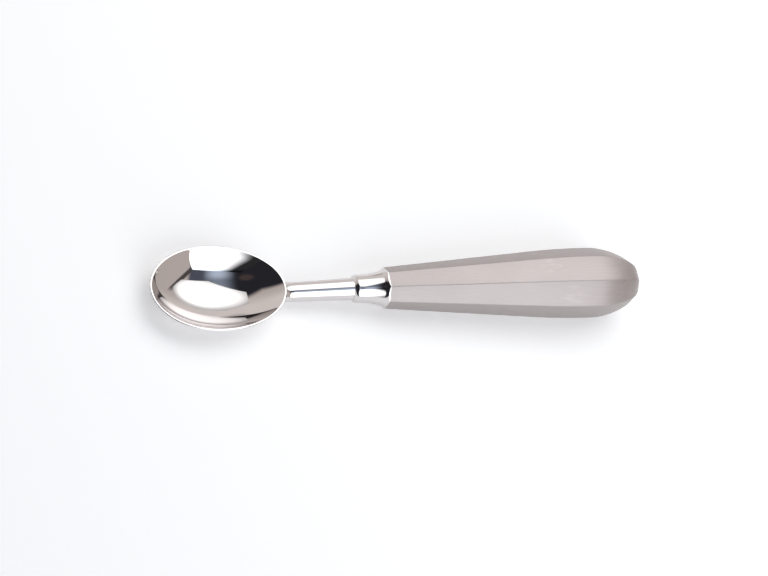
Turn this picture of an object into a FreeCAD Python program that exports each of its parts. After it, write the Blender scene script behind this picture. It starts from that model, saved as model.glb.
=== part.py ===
import FreeCAD, Part

import math
import os

import Sketcher
from FreeCAD import Placement, Rotation, Vector

# Design frame: the joint between collar and handle is the origin, +X runs along the handle
# to the butt, the bowl lies towards -X and opens towards +Z.
# Lengths are in millimetres and angles in degrees.

doc = FreeCAD.newDocument("QuenelleSpoon")
sheet = doc.addObject("Spreadsheet::Sheet", "Sizes")

handleSizes = [
    ("handleLength", 107.7, "joint to butt"),
    ("facets", 8, "flat sides around the handle"),
    ("frontFlats", 14.7, "across flats at the joint"),
    ("widestFlats", 25.7, "across flats where the handle is widest"),
    ("buttLength", 21.7, "widest section to the butt"),
    ("taperArc", 330.0, "radius that eases the straight taper into the widest section"),
    ("noseRadius", 10.2, "radius of each facet as it crosses the end of the butt"),
    ("shellWall", 1.2, "wall of the hollow handle"),
    ("cutMargin", 2.0, "how far the handle's round blank and its cuts stand past the facets"),
]
bowlSizes = [
    ("bowlReach", 67.8, "joint to the bowl's widest section"),
    ("rimWidth", 34.9, "across the rim, outside"),
    ("tipLength", 24.5, "widest section to the tip, outside"),
    ("heelLength", 28.0, "widest section to the heel, outside"),
    ("bowlDepth", 9.4, "rim to the lowest point, outside"),
    ("bowlWall", 0.9, "wall of the bowl"),
    ("rimLatitude", 38.0, "angle of the rim below the equator of the bowl's ellipsoid"),
    ("rimRise", 3.9, "rim above the handle's axis, at the widest section"),
    ("rimPitch", 1.6, "tip up, against the handle's axis"),
]
neckSizes = [
    ("neckRadius", 3.87, "where the round neck comes clear of the bowl"),
    ("neckBackRadius", 4.4, "at the collar"),
    ("neckDrop", 1.0, "neck's centre below the handle's axis, at the bowl"),
    ("neckClear", 2.0, "heel of the bowl to the full section of the neck"),
    ("rampRun", 1.5, "how far the sloped end of the neck reaches under the rim"),
    ("rampRadius", 3.4, "section at the foot of that slope"),
    ("rampDrop", 1.75, "centre of that section below the handle's axis"),
    ("tongueMidRun", 7.0, "heel of the bowl to the middle of the tongue under it"),
    ("tongueMidRadius", 2.5, "tongue's section there"),
    ("tongueMidDrop", 2.0, "centre of that section below the handle's axis"),
    ("tongueRun", 14.0, "heel of the bowl to the end of the tongue"),
    ("tongueTipRadius", 1.2, "tongue's last section, inside the bowl's wall"),
    ("tongueTipDrop", 2.6, "centre of that section below the handle's axis"),
]
collarSizes = [
    ("collarLength", 13.3, "front of the collar to the joint"),
    ("collarRadius", 5.4, "at the front of the collar"),
    ("collarFillet", 0.35, "hollow between neck and collar"),
    ("collarRound", 0.55, "rounding of the collar's front edge"),
    ("waistArc", 70.0, "long hollow curve of the collar"),
    ("flareRadius", 1.75, "quick flare up to the handle"),
    ("flangeThickness", 0.35, "polished edge against the handle"),
    ("trimMargin", 1.0, "flare's round blank beyond the corners that are cut from it"),
    ("spigotLength", 6.0, "round spigot inside the handle"),
    ("spigotClearance", 0.2, "between the spigot and the handle's wall"),
]

allSizes = handleSizes + bowlSizes + neckSizes + collarSizes
for row, (alias, value, note) in enumerate(allSizes, start=1):
    sheet.set(f"A{row}", note)
    sheet.set(f"B{row}", str(value))
    sheet.setAlias(f"B{row}", alias)
doc.recompute()

# Indices of the points of a sketch's geometry, and of the sketch's own axes and origin
startIndex, endIndex, centreIndex = range(1, 4)
horizontalIndex = -1
verticalIndex = -2
originPoint = (horizontalIndex, startIndex)

# The rest pitch is searched for between these angles, halving the span each time
steepestPitch = 15.0
pitchHalvings = 40

# Formulas that more than one sub-part follows
cornerFactor = "cos(180 deg / Sizes.facets)"
frontCorner = f"Sizes.frontFlats / 2 / {cornerFactor}"
widestCorner = f"Sizes.widestFlats / 2 / {cornerFactor}"
widestAt = "Sizes.handleLength - Sizes.buttLength"
latitudeSine = "sin(Sizes.rimLatitude * 1 deg)"
latitudeCosine = "cos(Sizes.rimLatitude * 1 deg)"
heelAt = "(Sizes.bowlReach - Sizes.heelLength)"
collarStart = "Sizes.collarLength + Sizes.collarFillet"


def number(formula):
    return float(sheet.evalExpression(formula))


def originFeature(body, role):
    return next(item for item in body.Origin.OriginFeatures if item.Role == role)


def newSketch(body, name, plane, offset=None):
    sketch = body.newObject("Sketcher::SketchObject", name)
    sketch.AttachmentSupport = (originFeature(body, plane), [""])
    sketch.MapMode = "FlatFace"
    if offset:
        sketch.setExpression("AttachmentOffset.Base.z", offset)
    return sketch


def dimension(sketch, name, formula, kind, *where):
    index = sketch.addConstraint(Sketcher.Constraint(kind, *where, number(formula)))
    sketch.renameConstraint(index, name)
    sketch.setExpression(f"Constraints.{name}", formula)


def constrain(sketch, *rules):
    for rule in rules:
        sketch.addConstraint(Sketcher.Constraint(*rule))


def line(sketch, *points):
    """Draws a chain of straight lines and joins them; returns their indices."""
    made = []
    for first, second in zip(points, points[1:]):
        segment = Part.LineSegment(Vector(*first, 0), Vector(*second, 0))
        made.append(sketch.addGeometry(segment, False))
    for before, after in zip(made, made[1:]):
        constrain(sketch, ("Coincident", before, endIndex, after, startIndex))
    return made


def arc(sketch, middle, radius, fromAngle, toAngle):
    whole = Part.Circle(Vector(*middle, 0), Vector(0, 0, 1), radius)
    return sketch.addGeometry(Part.ArcOfCircle(whole, fromAngle, toAngle), False)


def circle(sketch, name, radius, height=0.0, construction=False):
    whole = Part.Circle(Vector(0, height, 0), Vector(0, 0, 1), number(radius))
    ring = sketch.addGeometry(whole, construction)
    dimension(sketch, name, radius, "Radius", ring)
    return ring


def addPad(body, name, sketch, length):
    pad = body.newObject("PartDesign::Pad", name)
    pad.Profile = sketch
    pad.setExpression("Length", length)
    return pad


# Handle

def drawFacetCut(sketch, inset):
    """Draws what lies outside one facet: taper, long arc, crown, nose, and the waste around them."""
    front = f"Sizes.frontFlats / 2 - {inset}"
    widest = f"Sizes.widestFlats / 2 - {inset}"
    length = f"Sizes.handleLength - {inset}"
    taperRadius = f"Sizes.taperArc - {inset}"
    noseRadius = f"Sizes.noseRadius - {inset}"
    wasteHeight = f"{widestCorner} + 2 * Sizes.cutMargin"
    wasteEnd = f"{length} + Sizes.cutMargin"

    half = number(front)
    top = number(widest)
    tip = number(length)
    crownAt = number(widestAt)
    taper = number(taperRadius)
    nose = number(noseRadius)
    high = number(wasteHeight)
    right = number(wasteEnd)

    # The taper is the tangent from the front edge to the long arc
    taperCentre = (crownAt, top - taper)
    toCentre = math.hypot(crownAt, taperCentre[1] - half)
    tangentLength = math.sqrt(toCentre ** 2 - taper ** 2)
    slope = math.atan2(taperCentre[1] - half, crownAt) + math.atan2(taper, tangentLength)
    tangentPoint = (tangentLength * math.cos(slope), half + tangentLength * math.sin(slope))

    # The crown touches the long arc at the widest section and the nose at its own end
    reach = tip - crownAt
    crown = (reach ** 2 + top ** 2 - 2 * reach * nose) / (2 * (top - nose))
    crownEnd = math.atan2(crown - top, reach - nose)

    straight = line(sketch, (0, half), tangentPoint)[0]
    long = arc(sketch, taperCentre, taper, math.pi / 2, math.pi / 2 + slope)
    bulge = arc(sketch, (crownAt, top - crown), crown, crownEnd, math.pi / 2)
    round_ = arc(sketch, (tip - nose, 0), nose, 0, crownEnd)
    waste = line(sketch, (tip, 0), (right, 0), (right, high), (0, high), (0, half))
    constrain(
        sketch,
        ("Tangent", straight, endIndex, long, endIndex),
        ("Tangent", long, startIndex, bulge, endIndex),
        ("Tangent", bulge, startIndex, round_, endIndex),
        ("Vertical", long, startIndex, long, centreIndex),
        ("PointOnObject", round_, centreIndex, horizontalIndex),
        ("PointOnObject", round_, startIndex, horizontalIndex),
        ("PointOnObject", straight, startIndex, verticalIndex),
        ("Coincident", round_, startIndex, waste[0], startIndex),
        ("Coincident", waste[3], endIndex, straight, startIndex),
        ("Horizontal", waste[0]),
        ("Vertical", waste[1]),
        ("Horizontal", waste[2]),
        ("Vertical", waste[3]),
    )
    dimension(sketch, "halfFront", front, "DistanceY", *originPoint, straight, startIndex)
    dimension(sketch, "crownAt", widestAt, "DistanceX", *originPoint, long, startIndex)
    dimension(sketch, "halfWidest", widest, "DistanceY", *originPoint, long, startIndex)
    dimension(sketch, "length", length, "DistanceX", *originPoint, round_, startIndex)
    dimension(sketch, "taperRadius", taperRadius, "Radius", long)
    dimension(sketch, "noseRadius", noseRadius, "Radius", round_)
    dimension(sketch, "wasteEnd", wasteEnd, "DistanceX", *originPoint, waste[1], startIndex)
    dimension(sketch, "wasteHeight", wasteHeight, "DistanceY", *originPoint, waste[1], endIndex)


def makeFacetedBar(name, inset):
    """A round bar ground to flat sides that swell along its length and close over its end."""
    body = doc.addObject("PartDesign::Body", name)
    section = newSketch(body, f"{name}Blank", "YZ_Plane")
    ring = circle(section, "radius", f"{widestCorner} + Sizes.cutMargin")
    constrain(section, ("Coincident", ring, centreIndex, *originPoint))
    addPad(body, f"{name}Bar", section, f"Sizes.handleLength - {inset}")
    cut = newSketch(body, f"{name}FacetCut", "XZ_Plane")
    drawFacetCut(cut, inset)
    doc.recompute()
    facet = body.newObject("PartDesign::Pocket", f"{name}Facet")
    facet.Profile = cut
    facet.Type = "ThroughAll"
    facet.SideType = "Symmetric"
    doc.recompute()
    pattern = body.newObject("PartDesign::PolarPattern", f"{name}Facets")
    pattern.Originals = [facet]
    pattern.Axis = (originFeature(body, "X_Axis"), [""])
    pattern.Angle = 360
    pattern.setExpression("Occurrences", "Sizes.facets")
    body.Tip = pattern
    return body


outside = makeFacetedBar("Outside", "0")
inside = makeFacetedBar("Inside", "Sizes.shellWall")
handle = doc.addObject("Part::Cut", "HandleShell")
handle.Label = "handle"
handle.Base = outside
handle.Tool = inside
doc.recompute()


# Bowl, neck and collar, polished in one

spoon = doc.addObject("PartDesign::Body", "BowlNeckCollar")
spoon.Label = "bowl_neck_and_collar"

rimPlane = spoon.newObject("PartDesign::Plane", "RimPlane")
rimPlane.AttachmentSupport = (originFeature(spoon, "XY_Plane"), [""])
rimPlane.MapMode = "FlatFace"
rimPlane.AttachmentOffset = Placement(Vector(), Rotation(Vector(0, 1, 0), 1))
rimPlane.setExpression("AttachmentOffset.Base.x", "-Sizes.bowlReach * 1 mm")
rimPlane.setExpression("AttachmentOffset.Base.z", "Sizes.rimRise * 1 mm")
rimPlane.setExpression("AttachmentOffset.Rotation.Angle", "Sizes.rimPitch * 1 deg")
doc.recompute()


def addBowlHalf(kind, name, length, inset, turn):
    """Half the cap of an ellipsoid that lies below the rim, towards the heel or the tip."""
    depth = f"(Sizes.bowlDepth - {inset}) / (1 - {latitudeSine})"
    half = spoon.newObject(f"PartDesign::{kind}Ellipsoid", name)
    half.AttachmentSupport = (rimPlane, [""])
    half.MapMode = "FlatFace"
    half.AttachmentOffset = Placement(Vector(), Rotation(turn, 0, 0))
    half.setExpression("AttachmentOffset.Base.z", f"{depth} * {latitudeSine} * 1 mm")
    half.setExpression("Radius1", depth)
    half.setExpression("Radius2", f"(Sizes.rimWidth / 2 - {inset}) / {latitudeCosine}")
    half.setExpression("Radius3", f"(Sizes.{length} - {inset}) / {latitudeCosine}")
    half.setExpression("Angle2", "-Sizes.rimLatitude")
    half.Angle1 = -90
    half.Angle3 = 180
    doc.recompute()


addBowlHalf("Additive", "HeelHalf", "heelLength", "0", -90)
addBowlHalf("Additive", "TipHalf", "tipLength", "0", 90)


def addNeckSection(name, distance, radius, drop):
    """A round section of the neck, at a distance before the joint and a drop below the axis."""
    sketch = newSketch(spoon, name, "YZ_Plane", f"-({distance}) * 1 mm")
    ring = circle(sketch, "radius", radius, -number(drop))
    if drop == "0":
        constrain(sketch, ("Coincident", ring, centreIndex, *originPoint))
    else:
        constrain(sketch, ("PointOnObject", ring, centreIndex, verticalIndex))
        dimension(sketch, "drop", drop, "DistanceY", ring, centreIndex, *originPoint)
    return sketch


neckStart = f"{heelAt} - Sizes.neckClear"
footAt = f"{heelAt} + Sizes.rampRun"
middleAt = f"{heelAt} + Sizes.tongueMidRun"
tipAt = f"{heelAt} + Sizes.tongueRun"
neckBack = addNeckSection("NeckBack", collarStart, "Sizes.neckBackRadius", "0")
neckFront = addNeckSection("NeckFront", neckStart, "Sizes.neckRadius", "Sizes.neckDrop")
rampFoot = addNeckSection("RampFoot", footAt, "Sizes.rampRadius", "Sizes.rampDrop")
tongueMiddle = addNeckSection("TongueMiddle", middleAt, "Sizes.tongueMidRadius", "Sizes.tongueMidDrop")
tongueTip = addNeckSection("TongueTip", tipAt, "Sizes.tongueTipRadius", "Sizes.tongueTipDrop")
doc.recompute()

neck = spoon.newObject("PartDesign::AdditiveLoft", "Neck")
neck.Profile = neckBack
neck.Sections = [neckFront]
doc.recompute()
tongue = spoon.newObject("PartDesign::AdditiveLoft", "Tongue")
tongue.Profile = neckFront
tongue.Sections = [rampFoot, tongueMiddle, tongueTip]
doc.recompute()


def drawCollar(sketch):
    """Half section: fillet, rounded front edge, hollow waist, flare, flange blank and spigot."""
    spigotRadius = "Sizes.frontFlats / 2 - Sizes.shellWall - Sizes.spigotClearance"
    blankRadius = f"{frontCorner} + Sizes.trimMargin"
    front = number("Sizes.collarLength")
    radius = number("Sizes.collarRadius")
    neckRadius = number("Sizes.neckBackRadius")
    fillet = number("Sizes.collarFillet")
    edge = number("Sizes.collarRound")
    waist = number("Sizes.waistArc")
    flare = number("Sizes.flareRadius")
    flange = number("Sizes.flangeThickness")
    blank = number(blankRadius)
    spigot = number(spigotRadius)
    spigotEnd = number("Sizes.spigotLength")

    # Waist and flare touch where the line through both centres leaves the flare
    waistCentre = (edge - front, radius + waist)
    flareAt = -flange - flare
    flareHeight = waistCentre[1] - math.sqrt((waist - flare) ** 2 - (flareAt - waistCentre[0]) ** 2)
    meeting = math.atan2(flareHeight - waistCentre[1], flareAt - waistCentre[0])

    neckFace = line(sketch, (-front - fillet, 0), (-front - fillet, neckRadius))[0]
    hollow = arc(sketch, (-front - fillet, neckRadius + fillet), fillet, -math.pi / 2, 0)
    shoulder = line(sketch, (-front, neckRadius + fillet), (-front, radius - edge))[0]
    rounded = arc(sketch, (edge - front, radius - edge), edge, math.pi / 2, math.pi)
    long = arc(sketch, waistCentre, waist, -math.pi / 2, meeting)
    quick = arc(sketch, (flareAt, flareHeight), flare, meeting, 0)
    rest = line(sketch, (-flange, flareHeight), (-flange, blank), (0, blank), (0, spigot),
                (spigotEnd, spigot), (spigotEnd, 0), (-front - fillet, 0))
    constrain(
        sketch,
        ("PointOnObject", neckFace, startIndex, horizontalIndex),
        ("Vertical", neckFace),
        ("Coincident", neckFace, endIndex, hollow, startIndex),
        ("Vertical", hollow, startIndex, hollow, centreIndex),
        ("Tangent", hollow, endIndex, shoulder, startIndex),
        ("Vertical", shoulder),
        ("Tangent", shoulder, endIndex, rounded, endIndex),
        ("Tangent", rounded, startIndex, long, startIndex),
        ("Vertical", long, startIndex, long, centreIndex),
        ("Tangent", long, endIndex, quick, startIndex),
        ("Tangent", quick, endIndex, rest[0], startIndex),
        ("Vertical", rest[0]),
        ("Horizontal", rest[1]),
        ("Vertical", rest[2]),
        ("PointOnObject", rest[2], startIndex, verticalIndex),
        ("Horizontal", rest[3]),
        ("Vertical", rest[4]),
        ("PointOnObject", rest[4], endIndex, horizontalIndex),
        ("Coincident", rest[5], endIndex, neckFace, startIndex),
    )
    dimension(sketch, "neckRadius", "Sizes.neckBackRadius", "DistanceY", *originPoint, neckFace, endIndex)
    dimension(sketch, "collarLength", "Sizes.collarLength", "DistanceX", shoulder, startIndex, *originPoint)
    dimension(sketch, "fillet", "Sizes.collarFillet", "Radius", hollow)
    dimension(sketch, "edge", "Sizes.collarRound", "Radius", rounded)
    dimension(sketch, "collarRadius", "Sizes.collarRadius", "DistanceY", *originPoint, rounded, startIndex)
    dimension(sketch, "waist", "Sizes.waistArc", "Radius", long)
    dimension(sketch, "flare", "Sizes.flareRadius", "Radius", quick)
    dimension(sketch, "flange", "Sizes.flangeThickness", "DistanceX", rest[0], startIndex, *originPoint)
    dimension(sketch, "blank", blankRadius, "DistanceY", *originPoint, rest[0], endIndex)
    dimension(sketch, "spigotRadius", spigotRadius, "DistanceY", *originPoint, rest[3], startIndex)
    dimension(sketch, "spigotLength", "Sizes.spigotLength", "DistanceX", *originPoint, rest[3], endIndex)


collarSketch = newSketch(spoon, "CollarSection", "XZ_Plane")
drawCollar(collarSketch)
doc.recompute()
collar = spoon.newObject("PartDesign::Revolution", "Collar")
collar.Profile = collarSketch
collar.ReferenceAxis = (collarSketch, ["H_Axis"])
collar.Angle = 360
doc.recompute()


def drawTrim(sketch):
    """A ring of waste: round outside, and inside the polygon of the handle's front edge."""
    sides = int(number("Sizes.facets"))
    radius = number(frontCorner)
    turns = [(index - 0.5) / sides for index in range(sides + 1)]
    angles = [math.pi / 2 + 2 * math.pi * turn for turn in turns]
    corners = [(radius * math.cos(angle), radius * math.sin(angle)) for angle in angles]
    edges = line(sketch, *corners)
    guide = circle(sketch, "corner", frontCorner, construction=True)
    waste = circle(sketch, "waste", f"{frontCorner} + 2 * Sizes.trimMargin")
    constrain(
        sketch,
        ("Coincident", edges[-1], endIndex, edges[0], startIndex),
        ("Horizontal", edges[0]),
        ("Coincident", guide, centreIndex, *originPoint),
        ("Coincident", waste, centreIndex, *originPoint),
        *[("PointOnObject", edge, startIndex, guide) for edge in edges],
        *[("Equal", edges[0], edge) for edge in edges[1:]],
    )


trimSketch = newSketch(spoon, "FlangeTrim", "YZ_Plane")
drawTrim(trimSketch)
doc.recompute()
untrimmed = spoon.Shape.Volume
trim = spoon.newObject("PartDesign::Pocket", "FlangeCorners")
trim.Profile = trimSketch
trim.setExpression("Length", "Sizes.flangeThickness + Sizes.flareRadius")
doc.recompute()
if trim.Shape.Volume >= untrimmed:
    raise RuntimeError("the flange's trim cuts nothing")

addBowlHalf("Subtractive", "HeelHollow", "heelLength", "Sizes.bowlWall", -90)
addBowlHalf("Subtractive", "TipHollow", "tipLength", "Sizes.bowlWall", 90)


# Pose at rest: the bowl's belly and the handle's lowest facet both touch the table

def lowest(shape, pitch):
    turned = shape.copy()
    turned.rotate(Vector(), Vector(0, 1, 0), -pitch)
    return turned.optimalBoundingBox(False, False).ZMin


def restPitch():
    """Bisects for the pitch at which both pieces are equally low."""
    low = -steepestPitch
    high = steepestPitch
    for halving in range(pitchHalvings):
        middle = (low + high) / 2
        if lowest(handle.Shape, middle) < lowest(spoon.Shape, middle):
            low = middle
        else:
            high = middle
    return middle


pieces = [spoon, handle]
pitch = restPitch()
lying = Part.makeCompound([piece.Shape for piece in pieces])
lying.rotate(Vector(), Vector(0, 1, 0), -pitch)
box = lying.optimalBoundingBox(False, False)
onTable = Vector(-(box.XMin + box.XMax) / 2, -(box.YMin + box.YMax) / 2, -box.ZMin)
for piece in pieces:
    piece.Placement = Placement(onTable, Rotation(Vector(0, 1, 0), -pitch))

for item in doc.Objects:
    if "Invalid" in item.State or "Error" in item.State:
        raise RuntimeError(f"{item.Name} failed: {item.State}")
for piece in pieces:
    if piece.Shape.isNull() or not piece.Shape.isValid():
        raise RuntimeError(f"{piece.Label} has no valid shape")

os.makedirs("parts", exist_ok=True)
for piece in pieces:
    piece.Shape.exportStep(f"parts/{piece.Label}.step")
    solids = len(piece.Shape.Solids)
    print(f"{piece.Label}: {solids} solid, {piece.Shape.Volume:.1f} mm3, {piece.Shape.BoundBox}")
print(f"pitch at rest {pitch:.3f} degrees, joint at {onTable}")
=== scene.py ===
import bpy
import math
from mathutils import Matrix, Quaternion, Vector


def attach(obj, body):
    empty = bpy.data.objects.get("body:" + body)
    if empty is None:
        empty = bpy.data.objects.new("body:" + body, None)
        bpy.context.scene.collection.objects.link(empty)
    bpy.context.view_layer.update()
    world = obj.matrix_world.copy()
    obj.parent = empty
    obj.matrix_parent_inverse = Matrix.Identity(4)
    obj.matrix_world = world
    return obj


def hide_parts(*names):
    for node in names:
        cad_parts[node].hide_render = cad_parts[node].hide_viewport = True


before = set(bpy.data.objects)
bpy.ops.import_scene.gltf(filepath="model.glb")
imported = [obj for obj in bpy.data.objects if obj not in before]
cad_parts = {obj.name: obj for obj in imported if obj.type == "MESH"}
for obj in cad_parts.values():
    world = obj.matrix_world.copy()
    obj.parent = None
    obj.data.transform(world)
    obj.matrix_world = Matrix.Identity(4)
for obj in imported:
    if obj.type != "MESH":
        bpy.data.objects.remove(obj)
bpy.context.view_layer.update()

millimetre = 0.001
quarterTurn = math.pi / 2
hairline = 0.001                                    # millimetres that count as none
joint = Vector((-7.586, 0, 8.924)) * millimetre     # centre of the handle's front face
restPitch = 2.884                                   # degrees that the handle's axis slopes at rest


# Shader maths: a Wire is an output socket that can stand in a sum
class Wire:
    def __init__(self, tree, socket):
        self.tree = tree
        self.socket = socket

    def math(self, operation, *values):
        return addNode(self.tree, "ShaderNodeMath", {"operation": operation}, dict(enumerate(values)))

    def other(self, name):
        return Wire(self.tree, self.socket.node.outputs[name])

    def __add__(self, other):
        return self.math("ADD", self, other)

    def __radd__(self, other):
        return self.math("ADD", other, self)

    def __sub__(self, other):
        return self.math("SUBTRACT", self, other)

    def __rsub__(self, other):
        return self.math("SUBTRACT", other, self)

    def __mul__(self, other):
        return self.math("MULTIPLY", self, other)

    def __rmul__(self, other):
        return self.math("MULTIPLY", other, self)

    def __truediv__(self, other):
        return self.math("DIVIDE", self, other)

    def root(self):
        return self.math("SQRT", self)

    def angle(self, other):
        return self.math("ARCTAN2", self, other)

    def above(self, other):
        return self.math("MAXIMUM", self, other)

    def size(self):
        return self.math("ABSOLUTE", self)


def addNode(tree, kind, settings=None, inputs=None, output=0):
    node = tree.nodes.new(kind)
    for name, value in (settings or {}).items():
        setattr(node, name, value)
    for name, value in (inputs or {}).items():
        socket = node.inputs[name]
        if isinstance(value, Wire):
            tree.links.new(value.socket, socket)
        elif socket.type == "RGBA" and len(value) == 3:
            socket.default_value = (*value, 1)
        else:
            socket.default_value = value
    return Wire(tree, node.outputs[output]) if len(node.outputs) else node


def newMaterial(name):
    material = bpy.data.materials.new(name)
    material.use_nodes = True
    material.node_tree.nodes.clear()
    return material, material.node_tree


def setMaterial(piece, material):
    piece.data.materials.clear()
    piece.data.materials.append(material)


def objectCoordinates(tree):
    return addNode(tree, "ShaderNodeTexCoord", None, None, "Object")


def objectPlace(tree):
    x = addNode(tree, "ShaderNodeSeparateXYZ", None, {"Vector": objectCoordinates(tree)}, "X")
    return x, x.other("Y"), x.other("Z")


# Goes smoothly from bottom to top as the value goes from low to high
def rise(tree, value, low, high, bottom=0.0, top=1.0):
    return addNode(tree, "ShaderNodeMapRange", {"interpolation_type": "SMOOTHSTEP"}, {
        "Value": value, "From Min": low, "From Max": high, "To Min": bottom, "To Max": top})


# 1 inside a soft-edged disc of the flat sky chart, 0 outside it
def spot(tree, east, north, centre, radius):
    fullShare = 0.3     # of the radius
    x = east - centre[0]
    y = north - centre[1]
    return rise(tree, (x * x + y * y).root(), radius, radius * fullShare)


def blendColours(tree, factor, first, second):
    return addNode(tree, "ShaderNodeMix", {"data_type": "RGBA"}, {0: factor, 6: first, 7: second}, 2)


def glowing(name, colour, strength):
    material, tree = newMaterial(name)
    glow = addNode(tree, "ShaderNodeEmission", None, {"Color": colour(tree), "Strength": strength(tree)})
    addNode(tree, "ShaderNodeOutputMaterial", None, {"Surface": glow})
    return material


# Modelling

def freshSelection():
    bpy.ops.object.select_all(action="DESELECT")


def chooseOnly(piece):
    freshSelection()
    piece.select_set(True)
    bpy.context.view_layer.objects.active = piece


# Selects the vertices, edges or faces of a mesh that pass a test, and stays in edit mode
def pick(piece, kind, wanted):
    bpy.ops.object.mode_set(mode="EDIT")
    bpy.ops.mesh.select_mode(type=kind)
    bpy.ops.mesh.select_all(action="DESELECT")
    bpy.ops.object.mode_set(mode="OBJECT")
    elements = {"VERT": piece.data.vertices, "EDGE": piece.data.edges, "FACE": piece.data.polygons}[kind]
    for element in elements:
        element.select = wanted(element)
    bpy.ops.object.mode_set(mode="EDIT")


def applyModifier(piece, kind, **settings):
    modifier = piece.modifiers.new(kind.lower(), kind)
    for name, value in settings.items():
        setattr(modifier, name, value)
    chooseOnly(piece)
    bpy.ops.object.modifier_apply(modifier=modifier.name)


def cutWith(piece, tool, operation):
    applyModifier(piece, "BOOLEAN", operation=operation, object=tool, solver="EXACT")
    bpy.data.objects.remove(tool)


# Lays a piece modelled about the handle's axis on the table, with its place in its mesh
def placePiece(piece):
    lay = (
        Matrix.Translation(joint) @ Matrix.Rotation(math.radians(-restPitch), 4, "Y")
        @ Matrix.Scale(millimetre, 4))
    chooseOnly(piece)
    piece.matrix_world = lay @ piece.matrix_world
    bpy.ops.object.transform_apply(location=True, rotation=True, scale=True)


# Camera: angles in degrees, distance from the joint in metres, lens and sensor in millimetres

cameraPlace = dict(
    azimuth=-44.354, elevation=55.085, turn=38.599, distance=0.78, lens=96.2, sensor=36, near=0.01, far=50)


def makeCamera():
    azimuth = math.radians(cameraPlace["azimuth"])
    elevation = math.radians(cameraPlace["elevation"])
    level = math.cos(elevation)
    back = Vector((math.sin(azimuth) * level, -math.cos(azimuth) * level, math.sin(elevation)))
    bpy.ops.object.camera_add(location=joint + back * cameraPlace["distance"])
    camera = bpy.context.object
    camera.name = "camera"
    turn = Quaternion((0, 0, 1), math.radians(cameraPlace["turn"]))
    camera.rotation_mode = "QUATERNION"
    camera.rotation_quaternion = (-back).to_track_quat("-Z", "Y") @ turn
    camera.data.lens = cameraPlace["lens"]
    camera.data.sensor_width = cameraPlace["sensor"]
    camera.data.clip_start = cameraPlace["near"]
    camera.data.clip_end = cameraPlace["far"]
    bpy.context.scene.camera = camera
    print("camera is set")


# Studio, in metres: an eight-sided lamp behind, a tall lamp at the side, and walls that only steel mirrors

octabox = dict(
    sides=8, centre=(0.50, 0.61, 0.90), radius=0.85, strength=2.4, farStrength=0.8, hotSpot=(-0.10, -0.22),
    fadeFrom=0.26, fadeTo=0.88, rimFrom=0.68, rimTo=0.87, rimShare=0.7)


def makeOctabox():
    freshSelection()
    bpy.ops.mesh.primitive_circle_add(
        vertices=octabox["sides"], radius=octabox["radius"], fill_type="NGON",
        rotation=(0, 0, math.pi / octabox["sides"]))
    bpy.ops.object.transform_apply(rotation=True)
    box = bpy.context.object
    box.name = "octabox"
    box.location = octabox["centre"]

    # Brightest round its hot spot, dimmer towards its rim
    def strength(tree):
        x, y, z = objectPlace(tree)
        reach = (x * x + y * y).root()
        x = x - octabox["hotSpot"][0]
        y = y - octabox["hotSpot"][1]
        across = (x * x + y * y).root()
        middle = rise(
            tree, across, octabox["fadeFrom"], octabox["fadeTo"], octabox["strength"], octabox["farStrength"])
        return middle * rise(tree, reach, octabox["rimFrom"], octabox["rimTo"], 1.0, octabox["rimShare"])

    setMaterial(box, glowing("octaboxCloth", lambda tree: (1, 1, 1), strength))
    return box


# Corners are (x, z), in the order of corner
sideBox = dict(
    away=0.90, corner=(0, 1, 3, 2), corners=[(-0.75, 0.0), (0.50, 0.0), (0.88, 1.28), (-0.45, 1.72)],
    strength=2.6, topStrength=0.55, fadeFrom=1.22, fadeTo=1.70,
    cloth=(0.95, 0.97, 1.0), topColour=(0.58, 0.78, 1.0),
    edgeLean=0.295, edgeFrom=-0.22, edgeTo=-0.66, edgeStrength=0.013,
    cornerLean=0.9, cornerFrom=-0.12, cornerTo=0.34)


def makeSideBox():
    freshSelection()
    bpy.ops.mesh.primitive_plane_add(size=1)
    box = bpy.context.object
    box.name = "sideBox"
    for index, (x, z) in zip(sideBox["corner"], sideBox["corners"]):
        pick(box, "VERT", lambda vertex: vertex.index == index)
        move = Vector((x, -sideBox["away"], z)) - box.data.vertices[index].co
        bpy.ops.transform.translate(value=move)
        bpy.ops.object.mode_set(mode="OBJECT")

    # Full in the middle, dimmer at the top, nearly dark past its west edge and its low west corner
    def strength(tree):
        x, y, z = objectPlace(tree)
        upward = rise(
            tree, z, sideBox["fadeFrom"], sideBox["fadeTo"], sideBox["strength"], sideBox["topStrength"])
        inward = x - z * sideBox["edgeLean"]
        corner = rise(tree, x + z * sideBox["cornerLean"], sideBox["cornerFrom"], sideBox["cornerTo"])
        lit = rise(tree, inward, sideBox["edgeTo"], sideBox["edgeFrom"]) * corner
        return upward * lit.above(sideBox["edgeStrength"])

    def colour(tree):
        x, y, z = objectPlace(tree)
        high = rise(tree, z, sideBox["fadeFrom"], sideBox["fadeTo"])
        return blendColours(tree, high, sideBox["cloth"], sideBox["topColour"])

    setMaterial(box, glowing("sideBoxCloth", colour, strength))
    return box


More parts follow.
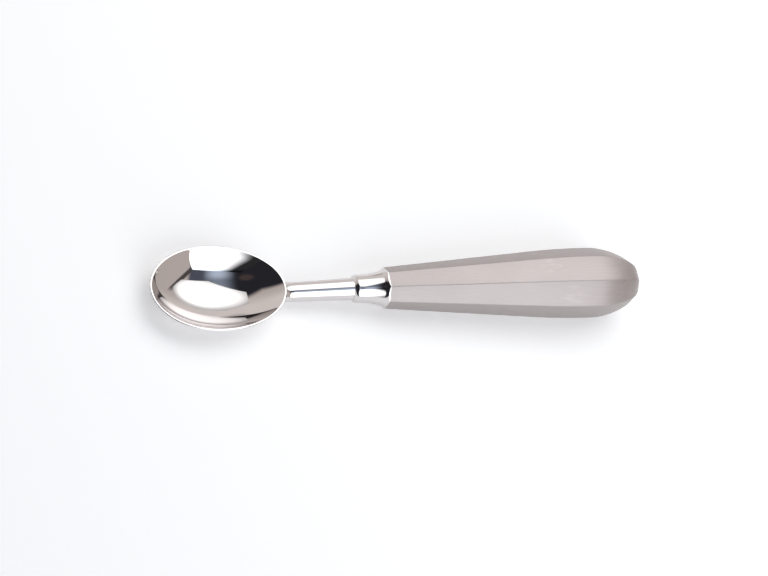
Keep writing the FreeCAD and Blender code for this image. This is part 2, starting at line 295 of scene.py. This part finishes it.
# Places on the walls are on a flat chart of the sky: zenith in the middle, horizon at 1, +X east, +Y north.
# Each range goes from where a patch is off to where it is full.
walls = dict(
    radius=2.5, segments=64, rings=32,
    beige=(0.62, 0.56, 0.53), north=(0.86, 0.80, 0.77), northRange=(0.25, 0.65),
    brown=(0.42, 0.37, 0.34), brownSpot=((0.06, 0.86), 0.12), brownShare=0.6,
    navy=(0.10, 0.11, 0.15), gapEast=(0.42, 0.36), gapWest=(-0.3, -0.15), gapNorth=(0.15, 0.05),
    blue=(0.60, 0.70, 0.86), glowNorth=(-0.12, -0.27), glowNorthShare=(0.35, 1.0), glowEast=(0.23, 0.08),
    glowWest=(-0.2, -0.03),
    line=(0.10, 0.09, 0.09), linePoint=(0.383, -0.333), lineNormal=(0.894, 0.447), lineWidth=(0.045, 0.02),
    lineNorth=(0.3, 0.1),
    black=(0.025, 0.025, 0.032), darkNorth=(0.27, 0.12), darkEast=(0.06, -0.12), darkBend=0.33, darkSlope=0.8,
    reddishDark=(0.075, 0.055, 0.055), reddishDarkSpot=((-0.20, -0.18), 0.11))


def makeWalls():
    freshSelection()
    bpy.ops.mesh.primitive_uv_sphere_add(
        segments=walls["segments"], ring_count=walls["rings"], radius=walls["radius"])
    dome = bpy.context.object
    dome.name = "studioWalls"

    # The walls glow with painted light and shade that steel shows as painted reflections: paler to the north,
    # navy and blue between the lamps, a dark edge by the eight-sided lamp, and black with a reddish dark spot
    # on the unlit side
    def colour(tree):
        x, y, z = (axis / walls["radius"] for axis in objectPlace(tree))
        level = (x * x + y * y).root()
        scale = level.angle(z) / quarterTurn / level
        east = x * scale
        north = y * scale
        shade = blendColours(tree, rise(tree, north, *walls["northRange"]), walls["beige"], walls["north"])
        farNorth = spot(tree, east, north, *walls["brownSpot"]) * walls["brownShare"]
        shade = blendColours(tree, farNorth, shade, walls["brown"])
        # Between the two lamps: navy, with a blue glow that brightens towards the side lamp
        gap = rise(tree, east, *walls["gapEast"]) * rise(tree, east, *walls["gapWest"])
        gap = gap * rise(tree, north, *walls["gapNorth"])
        glow = rise(tree, north, *walls["glowNorth"], *walls["glowNorthShare"])
        glow = glow * rise(tree, east, *walls["glowEast"]) * rise(tree, east, *walls["glowWest"])
        shade = blendColours(tree, gap, shade, blendColours(tree, glow, walls["navy"], walls["blue"]))
        # A dark edge beside the eight-sided lamp
        lineAt = (east - walls["linePoint"][0]) * walls["lineNormal"][0]
        lineAt = lineAt - (north - walls["linePoint"][1]) * walls["lineNormal"][1]
        line = rise(tree, lineAt.size(), *walls["lineWidth"]) * rise(tree, north, *walls["lineNorth"])
        shade = blendColours(tree, line, shade, walls["line"])
        # The unlit side
        shift = (east + walls["darkBend"]).above(0.0) * walls["darkSlope"]
        dark = rise(tree, north - shift, *walls["darkNorth"]) * rise(tree, east, *walls["darkEast"])
        # A reddish dark spot of painted reflection on the unlit side
        reddishDarkMask = spot(tree, east, north, *walls["reddishDarkSpot"])
        return blendColours(tree, dark, shade, blendColours(tree, reddishDarkMask, walls["black"], walls["reddishDark"]))

    # The walls' glow at strength 1 is a painted reflection, seen only by way of steel and glass
    setMaterial(dome, glowing("wallPaintedReflection", colour, lambda tree: 1.0))
    dome.visible_shadow = False
    dome.visible_diffuse = False
    return dome


# 1 for rays that show the white surroundings: straight to the camera, or by way of steel or glass
def seenRays(tree):
    camera = addNode(tree, "ShaderNodeLightPath", None, None, "Is Camera Ray")
    return camera.above(camera.other("Is Glossy Ray")).above(camera.other("Is Transmission Ray"))


table = dict(radius=2.45, around=96, colour=(0.94, 0.94, 0.95), whitening=0.265)


def makeFloor():
    freshSelection()
    bpy.ops.mesh.primitive_circle_add(vertices=table["around"], radius=table["radius"], fill_type="NGON")
    floor = bpy.context.object
    floor.name = "floor"
    material, tree = newMaterial("tableTop")
    diffuse = addNode(tree, "ShaderNodeBsdfDiffuse", None, {"Color": table["colour"]})
    glow = addNode(tree, "ShaderNodeEmission", None, {
        "Color": (1, 1, 1), "Strength": seenRays(tree) * table["whitening"]})
    total = addNode(tree, "ShaderNodeAddShader", None, {0: diffuse, 1: glow})
    addNode(tree, "ShaderNodeOutputMaterial", None, {"Surface": total})
    setMaterial(floor, material)


room = dict(colour=(0.165, 0.17, 0.18))


def makeWorld():
    world = bpy.data.worlds.new("studio")
    bpy.context.scene.world = world
    world.use_nodes = True
    tree = world.node_tree
    tree.nodes.clear()
    dim = addNode(tree, "ShaderNodeBackground", None, {"Color": room["colour"]})
    white = addNode(tree, "ShaderNodeBackground", None, {"Color": (1, 1, 1)})
    both = addNode(tree, "ShaderNodeMixShader", None, {0: seenRays(tree), 1: dim, 2: white})
    addNode(tree, "ShaderNodeOutputWorld", None, {"Surface": both})


def makeStudio():
    for lamp in (makeOctabox(), makeSideBox(), makeWalls()):
        lamp.visible_camera = False
    makeFloor()
    makeWorld()
    print("studio is lit")


# Pieces: sizes in millimetres and degrees, x along the handle from the joint, z up from its axis

# Bowl: the part of an egg shape below its rim, with a wall
bowlShape = dict(
    centre=67.8, rise=3.9, tipUp=1.6, width=34.9, tip=24.5, heel=28.0, depth=9.4, wall=0.8, latitude=38.0,
    rimSpare=0.2, outerRound=0.58, innerRound=0.18, roundSteps=6, around=192, rings=128, smoothBelow=30.0)
bowlReach = dict(tip=bowlShape["tip"], heel=bowlShape["heel"], side=bowlShape["width"] / 2)


# One skin of the bowl, with the rim at height 0, shaped from a ball of radius 1
def addCap(name, inset, spare=0):
    offMiddle = 0.000001
    latitude = math.radians(bowlShape["latitude"])
    deep = (bowlShape["depth"] - inset) / (1 - math.sin(latitude))
    reach = {part: (value - inset + spare) / math.cos(latitude) for part, value in bowlReach.items()}
    freshSelection()
    bpy.ops.mesh.primitive_uv_sphere_add(
        segments=bowlShape["around"], ring_count=bowlShape["rings"], radius=1)
    cap = bpy.context.object
    cap.name = name
    bpy.ops.object.mode_set(mode="EDIT")
    bpy.ops.mesh.select_all(action="SELECT")
    bpy.ops.mesh.bisect(
        plane_co=(0, 0, -math.sin(latitude)), plane_no=(0, 0, 1), clear_outer=True, use_fill=False)
    for part, side in (("heel", 1), ("tip", -1)):
        pick(cap, "VERT", lambda vertex: vertex.co.x * side > offMiddle)
        bpy.ops.transform.resize(value=(reach[part], 1, 1), center_override=(0, 0, 0))
    bpy.ops.mesh.select_all(action="SELECT")
    bpy.ops.transform.resize(value=(1, reach["side"], deep), center_override=(0, 0, 0))
    bpy.ops.transform.translate(value=(0, 0, deep * math.sin(latitude)))
    bpy.ops.object.mode_set(mode="OBJECT")
    return cap


def onRim(cap, edge):
    return all(abs(cap.data.vertices[index].co.z) < hairline for index in edge.vertices)


def closeCap(cap):
    pick(cap, "EDGE", lambda edge: onRim(cap, edge))
    bpy.ops.mesh.edge_face_add()
    bpy.ops.object.mode_set(mode="OBJECT")


def tiltBowl(piece):
    piece.matrix_world = (
        Matrix.Translation((-bowlShape["centre"], 0, bowlShape["rise"]))
        @ Matrix.Rotation(math.radians(bowlShape["tipUp"]), 4, "Y"))
    bpy.context.view_layer.update()


def makeBowl():
    bowl = addCap("bowl", 0, bowlShape["rimSpare"])
    inside = addCap("bowlInside", bowlShape["wall"])
    bpy.ops.object.mode_set(mode="EDIT")
    bpy.ops.mesh.select_all(action="SELECT")
    bpy.ops.mesh.flip_normals()
    bpy.ops.object.mode_set(mode="OBJECT")
    chooseOnly(bowl)
    inside.select_set(True)
    bpy.ops.object.join()
    pick(bowl, "EDGE", lambda edge: onRim(bowl, edge))
    bpy.ops.mesh.bridge_edge_loops()
    bpy.ops.mesh.select_all(action="SELECT")
    bpy.ops.mesh.normals_make_consistent(inside=False)
    bpy.ops.object.mode_set(mode="OBJECT")
    middle = {part: value - bowlShape["wall"] / 2 for part, value in bowlReach.items()}

    def beyondMiddle(vertex):
        along = middle["heel"] if vertex.co.x > 0 else middle["tip"]
        return math.hypot(vertex.co.x / along, vertex.co.y / middle["side"]) > 1

    # The rim's outer edge is rounded more than its inner one
    for isOuter, offset in ((True, bowlShape["outerRound"]), (False, bowlShape["innerRound"])):
        pick(bowl, "EDGE", lambda edge: onRim(bowl, edge) and all(
            beyondMiddle(bowl.data.vertices[index]) == isOuter for index in edge.vertices))
        bpy.ops.mesh.bevel(offset=offset, segments=bowlShape["roundSteps"], affect="EDGES")
        bpy.ops.object.mode_set(mode="OBJECT")
    tiltBowl(bowl)
    return bowl


# A closed bar along X through round or many-sided sections
def extrudeSections(name, sides, turn, stations):
    freshSelection()
    place, drop, radius = stations[0]
    bpy.ops.mesh.primitive_circle_add(vertices=sides, radius=radius, fill_type="NGON")
    bar = bpy.context.object
    bar.name = name
    bar.matrix_world = (
        Matrix.Translation((place, 0, -drop)) @ Matrix.Rotation(quarterTurn, 4, "Y")
        @ Matrix.Rotation(turn, 4, "Z"))
    bpy.ops.object.transform_apply(location=True, rotation=True, scale=True)
    bpy.ops.object.mode_set(mode="EDIT")
    bpy.ops.mesh.select_mode(type="FACE")
    bpy.ops.mesh.select_all(action="SELECT")
    for nextPlace, nextDrop, nextRadius in stations[1:]:
        bpy.ops.mesh.extrude_region_move(
            TRANSFORM_OT_translate={"value": (nextPlace - place, 0, drop - nextDrop)})
        bpy.ops.transform.resize(
            value=(1, nextRadius / radius, nextRadius / radius), center_override=(nextPlace, 0, -nextDrop))
        place, drop, radius = nextPlace, nextDrop, nextRadius
    bpy.ops.mesh.select_all(action="SELECT")
    bpy.ops.mesh.normals_make_consistent(inside=False)
    bpy.ops.object.mode_set(mode="OBJECT")
    return bar


# Neck: each section of the tongue is its distance from the joint, its drop below the axis, and its radius
neckShape = dict(
    around=96,
    tongue=[(53.8, 2.6, 1.2), (46.8, 2.0, 2.5), (42.0, 1.6, 3.7), (39.9, 1.0, 4.05)],
    tongueSteps=6, rootRun=3.3, rootDrop=1.3, rootRadius=3.75, rootSteps=10, backRadius=4.3,
    collarLength=13.3, collarRadius=5.4, frontArc=2.0, frontSlope=68.0, flare=3.2, flareSlope=57.0,
    flange=0.05, flangeFlats=14.7, blankOver=0.04, prismLength=60.0, arcSteps=12)


# Runs from b at share 0 to c at share 1, smoothly, with a and d as the neighbours
def alongCurve(share, a, b, c, d):
    square = share ** 2
    cube = share ** 3
    leaving = (c - a) / 2
    arriving = (d - b) / 2
    return (
        (2 * cube - 3 * square + 1) * b + (cube - 2 * square + share) * leaving
        + (3 * square - 2 * cube) * c + (cube - square) * arriving)


# Sections of tongue, neck and collar: place along the axis, drop below it, and radius
def neckStations():
    shape = neckShape
    stations = []
    tongue = shape["tongue"]
    for index in range(len(tongue) - 1):
        before = tongue[max(index - 1, 0)]
        first, second = tongue[index], tongue[index + 1]
        after = tongue[min(index + 2, len(tongue) - 1)]
        for step in range(shape["tongueSteps"]):
            share = step / shape["tongueSteps"]
            away, drop, radius = (alongCurve(share, *ends) for ends in zip(before, first, second, after))
            stations.append((-away, drop, radius))
    # The root of the neck sweeps up to the bowl's rim
    place, drop, radius = tongue[-1]
    for step in range(shape["rootSteps"] + 1):
        away = step / shape["rootSteps"]
        near = (1 - away) ** 2
        stations.append((
            shape["rootRun"] * away - place,
            shape["rootDrop"] + (drop - shape["rootDrop"]) * near,
            shape["rootRadius"] + (radius - shape["rootRadius"]) * near))
    # The collar has a barrel front and widens in two arcs up to the handle
    crown = shape["collarRadius"]
    frontArc = shape["frontArc"]
    frontSlope = math.radians(shape["frontSlope"])
    collarFront = -shape["collarLength"]
    crownAt = collarFront + frontArc * math.sin(frontSlope)
    stations.append((collarFront, 0, shape["backRadius"]))

    def addArc(middle, radius, fromAngle, toAngle):
        for step in range(shape["arcSteps"] + 1):
            angle = fromAngle + (toAngle - fromAngle) * step / shape["arcSteps"]
            stations.append((middle[0] + radius * math.cos(angle), 0, middle[1] + radius * math.sin(angle)))

    addArc((crownAt, crown - frontArc), frontArc, quarterTurn + frontSlope, quarterTurn)
    blank = shape["flangeFlats"] / 2 / math.cos(math.pi / handleShape["facets"]) + shape["blankOver"]
    flare = shape["flare"]
    flareEnd = math.radians(shape["flareSlope"]) - quarterTurn
    flareX = -shape["flange"] - flare * math.cos(flareEnd)
    flareZ = blank - flare * math.sin(flareEnd)
    # The waist's arc leaves the crown level and meets the flare's arc with no corner
    run = flareX - crownAt
    lift = flareZ - crown
    waist = (run ** 2 + lift ** 2 - flare ** 2) / (2 * (lift - flare))
    meeting = math.atan2(flareZ - crown - waist, run)
    addArc((crownAt, crown + waist), waist, -quarterTurn, meeting)
    stations.pop()
    addArc((flareX, flareZ), flare, meeting, flareEnd)
    stations.append((0, 0, blank))
    return stations


def makePolishedPiece():
    neck = extrudeSections("neck", neckShape["around"], 0, neckStations())
    # The round blank gets the handle's eight flats
    half = math.pi / handleShape["facets"]
    corner = neckShape["flangeFlats"] / 2 / math.cos(half)
    prismStations = [(-neckShape["prismLength"], 0, corner), (0, 0, corner)]
    prism = extrudeSections("prism", handleShape["facets"], half, prismStations)
    cutWith(neck, prism, "INTERSECT")
    # Nothing of the tongue stands up inside the bowl
    hollow = addCap("hollow", bowlShape["wall"] / 2)
    closeCap(hollow)
    tiltBowl(hollow)
    cutWith(neck, hollow, "DIFFERENCE")
    bowl = makeBowl()
    cutWith(bowl, neck, "UNION")
    bowl.name = "polishedBowlAndNeck"
    placePiece(bowl)
    bpy.ops.object.shade_smooth_by_angle(angle=math.radians(bowlShape["smoothBelow"]))
    return bowl


# Handle: distances across flats, and the arcs of its long profile
handleShape = dict(
    facets=8, frontFlats=14.7, widestFlats=25.698, length=107.685, butt=21.7, taperArc=330.0, nose=10.2,
    ridge=0.28, ridgeSteps=3, ridgeFadesFrom=7.0, ridgeFadesTo=3.0, taperSteps=8, crownSteps=16,
    noseSteps=18, smoothBelow=17.0)


# Half the distance across flats along the handle: taper, long arc, crown and nose
def facetProfile():
    shape = handleShape
    front = shape["frontFlats"] / 2
    top = shape["widestFlats"] / 2
    tip = shape["length"]
    widestAt = tip - shape["butt"]
    arc = shape["taperArc"]
    nose = shape["nose"]
    fall = top - arc - front
    tangent = math.sqrt(widestAt ** 2 + fall ** 2 - arc ** 2)
    slope = math.atan2(fall, widestAt) + math.atan2(arc, tangent)
    reach = shape["butt"]
    crown = (reach ** 2 + top ** 2 - 2 * reach * nose) / (2 * (top - nose))
    crownEnd = math.atan2(crown - top, reach - nose)
    profile = [(0, front)]
    for step in range(shape["taperSteps"] + 1):
        angle = slope * (1 - step / shape["taperSteps"])
        profile.append((widestAt - arc * math.sin(angle), top - arc + arc * math.cos(angle)))
    for step in range(1, shape["crownSteps"] + 1):
        angle = quarterTurn + (crownEnd - quarterTurn) * step / shape["crownSteps"]
        profile.append((widestAt + crown * math.cos(angle), top - crown + crown * math.sin(angle)))
    for step in range(1, shape["noseSteps"]):
        angle = crownEnd * (1 - step / shape["noseSteps"])
        profile.append((tip - nose + nose * math.cos(angle), nose * math.sin(angle)))
    return profile


def makeHandle():
    sides = handleShape["facets"]
    half = math.pi / sides
    stations = [(place, 0, flat / math.cos(half)) for place, flat in facetProfile()]
    bar = extrudeSections("facetedHandle", sides, half, stations)
    # The last section closes in a point
    lastPlace = stations[-1][0]
    pick(bar, "FACE", lambda face: len(face.vertices) == sides and face.center.x > lastPlace - hairline)
    bpy.ops.mesh.extrude_region_move(
        TRANSFORM_OT_translate={"value": (handleShape["length"] - lastPlace, 0, 0)})
    bpy.ops.mesh.merge(type="CENTER")
    bpy.ops.object.mode_set(mode="OBJECT")
    # Ridges are bevelled, less and less towards the point
    weights = bar.data.attributes.new("bevel_weight_edge", "FLOAT", "EDGE")
    fadesFrom = handleShape["ridgeFadesFrom"]
    fadesTo = handleShape["ridgeFadesTo"]
    for edge in bar.data.edges:
        first, second = (bar.data.vertices[index].co for index in edge.vertices)
        along = abs(first.x - second.x) > hairline
        radius = min(math.hypot(first.y, first.z), math.hypot(second.y, second.z))
        fade = (radius - fadesTo) / (fadesFrom - fadesTo)
        if along and first.x + second.x > 0:
            weights.data[edge.index].value = min(max(fade, 0), 1)
    placePiece(bar)
    bpy.ops.object.shade_smooth()
    applyModifier(
        bar, "BEVEL", width=handleShape["ridge"] * millimetre, segments=handleShape["ridgeSteps"],
        limit_method="WEIGHT", harden_normals=False, use_clamp_overlap=False)
    bpy.ops.object.shade_smooth_by_angle(angle=math.radians(handleShape["smoothBelow"]))
    return bar


# Finishes: patterns on Object coordinates, scales per metre, three where a pattern is drawn out along X.
# Each range goes from where a pattern starts to where it is full.

def patternOn(tree, scale, detail=3.0):
    place = objectCoordinates(tree)
    if isinstance(scale, tuple):
        place = addNode(
            tree, "ShaderNodeVectorMath", {"operation": "MULTIPLY"}, {0: place, 1: scale}, "Vector")
        scale = 1.0
    return addNode(
        tree, "ShaderNodeTexNoise", None, {"Vector": place, "Scale": scale, "Detail": detail}, "Fac")


def steelSurface(tree, inputs):
    steel = addNode(tree, "ShaderNodeBsdfPrincipled", None, {"Metallic": 1.0, **inputs})
    addNode(tree, "ShaderNodeOutputMaterial", None, {"Surface": steel})


polish = dict(
    colour=(0.665, 0.638, 0.631), tint=(0.645, 0.625, 0.625), roughness=(0.025, 0.055),
    smears=90.0, smearRange=(0.35, 0.7),
    scratches=(500.0, 4500.0, 4500.0), scratchDetail=5.0, scratchDepth=0.000002, scratchStrength=0.06)


# Mirror polish with faint smears and hairline scratches
def polishedSteel():
    material, tree = newMaterial("polishedSteel")
    smears = rise(tree, patternOn(tree, polish["smears"]), *polish["smearRange"])
    scratches = patternOn(tree, polish["scratches"], polish["scratchDetail"])
    steelSurface(tree, {
        "Base Color": blendColours(tree, smears, polish["colour"], polish["tint"]),
        "Roughness": rise(tree, smears, 0.0, 1.0, *polish["roughness"]),
        "Normal": addNode(tree, "ShaderNodeBump", None, {
            "Strength": polish["scratchStrength"], "Distance": polish["scratchDepth"], "Height": scratches})})
    return material


satin = dict(
    colour=(0.396, 0.361, 0.353), pale=(0.495, 0.457, 0.449), roughness=(0.45, 0.52), roughRange=(0.35, 0.65),
    grain=(30.0, 2000.0, 2000.0), grainDetail=4.0, grainDepth=0.00001, grainStrength=0.26,
    grainRange=(0.35, 0.7), grainPales=0.35, grainRoughens=0.6,
    clouds=55.0, cloudRange=(0.4, 0.7), cloudPales=0.15, cloudRoughens=0.4,
    scuffs=(170.0, 1100.0, 1100.0), scuffRange=(0.52, 0.62), scuffPales=0.45,
    scuffPlaces=[(0.0585, 0.004, 0.024), (0.066, -0.0075, 0.020)], scuffReach=0.009)


# Satin finish, brushed along the handle, with a few paler scuffs on the upper facets
def satinSteel():
    material, tree = newMaterial("satinSteel")
    grain = patternOn(tree, satin["grain"], satin["grainDetail"])
    clouds = patternOn(tree, satin["clouds"])
    place = objectCoordinates(tree)
    near = 0.0
    for scuffPlace in satin["scuffPlaces"]:
        away = addNode(
            tree, "ShaderNodeVectorMath", {"operation": "DISTANCE"}, {0: place, 1: scuffPlace}, "Value")
        near = near + rise(tree, away, satin["scuffReach"], 0.0)
    scuffs = rise(tree, patternOn(tree, satin["scuffs"]), *satin["scuffRange"]) * near
    pale = scuffs * satin["scuffPales"] + rise(tree, grain, *satin["grainRange"]) * satin["grainPales"]
    pale = pale + rise(tree, clouds, *satin["cloudRange"]) * satin["cloudPales"]
    rough = grain * satin["grainRoughens"] + clouds * satin["cloudRoughens"]
    steelSurface(tree, {
        "Base Color": blendColours(tree, pale, satin["colour"], satin["pale"]),
        "Roughness": rise(tree, rough, *satin["roughRange"], *satin["roughness"]),
        "Normal": addNode(tree, "ShaderNodeBump", None, {
            "Strength": satin["grainStrength"], "Distance": satin["grainDepth"], "Height": grain})})
    return material


makeCamera()
makeStudio()
for makePiece, makeSteel, node, slot in (
        (makePolishedPiece, polishedSteel, "bowl_neck_and_collar", "polished_steel"),
        (makeHandle, satinSteel, "handle", "satin_steel")):
    piece = makePiece()
    setMaterial(piece, makeSteel())
    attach(piece, "root")
    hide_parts(node)
    print(piece.name, "has", len(piece.data.polygons), "faces")

bpy.context.scene.view_settings.view_transform = "Standard"
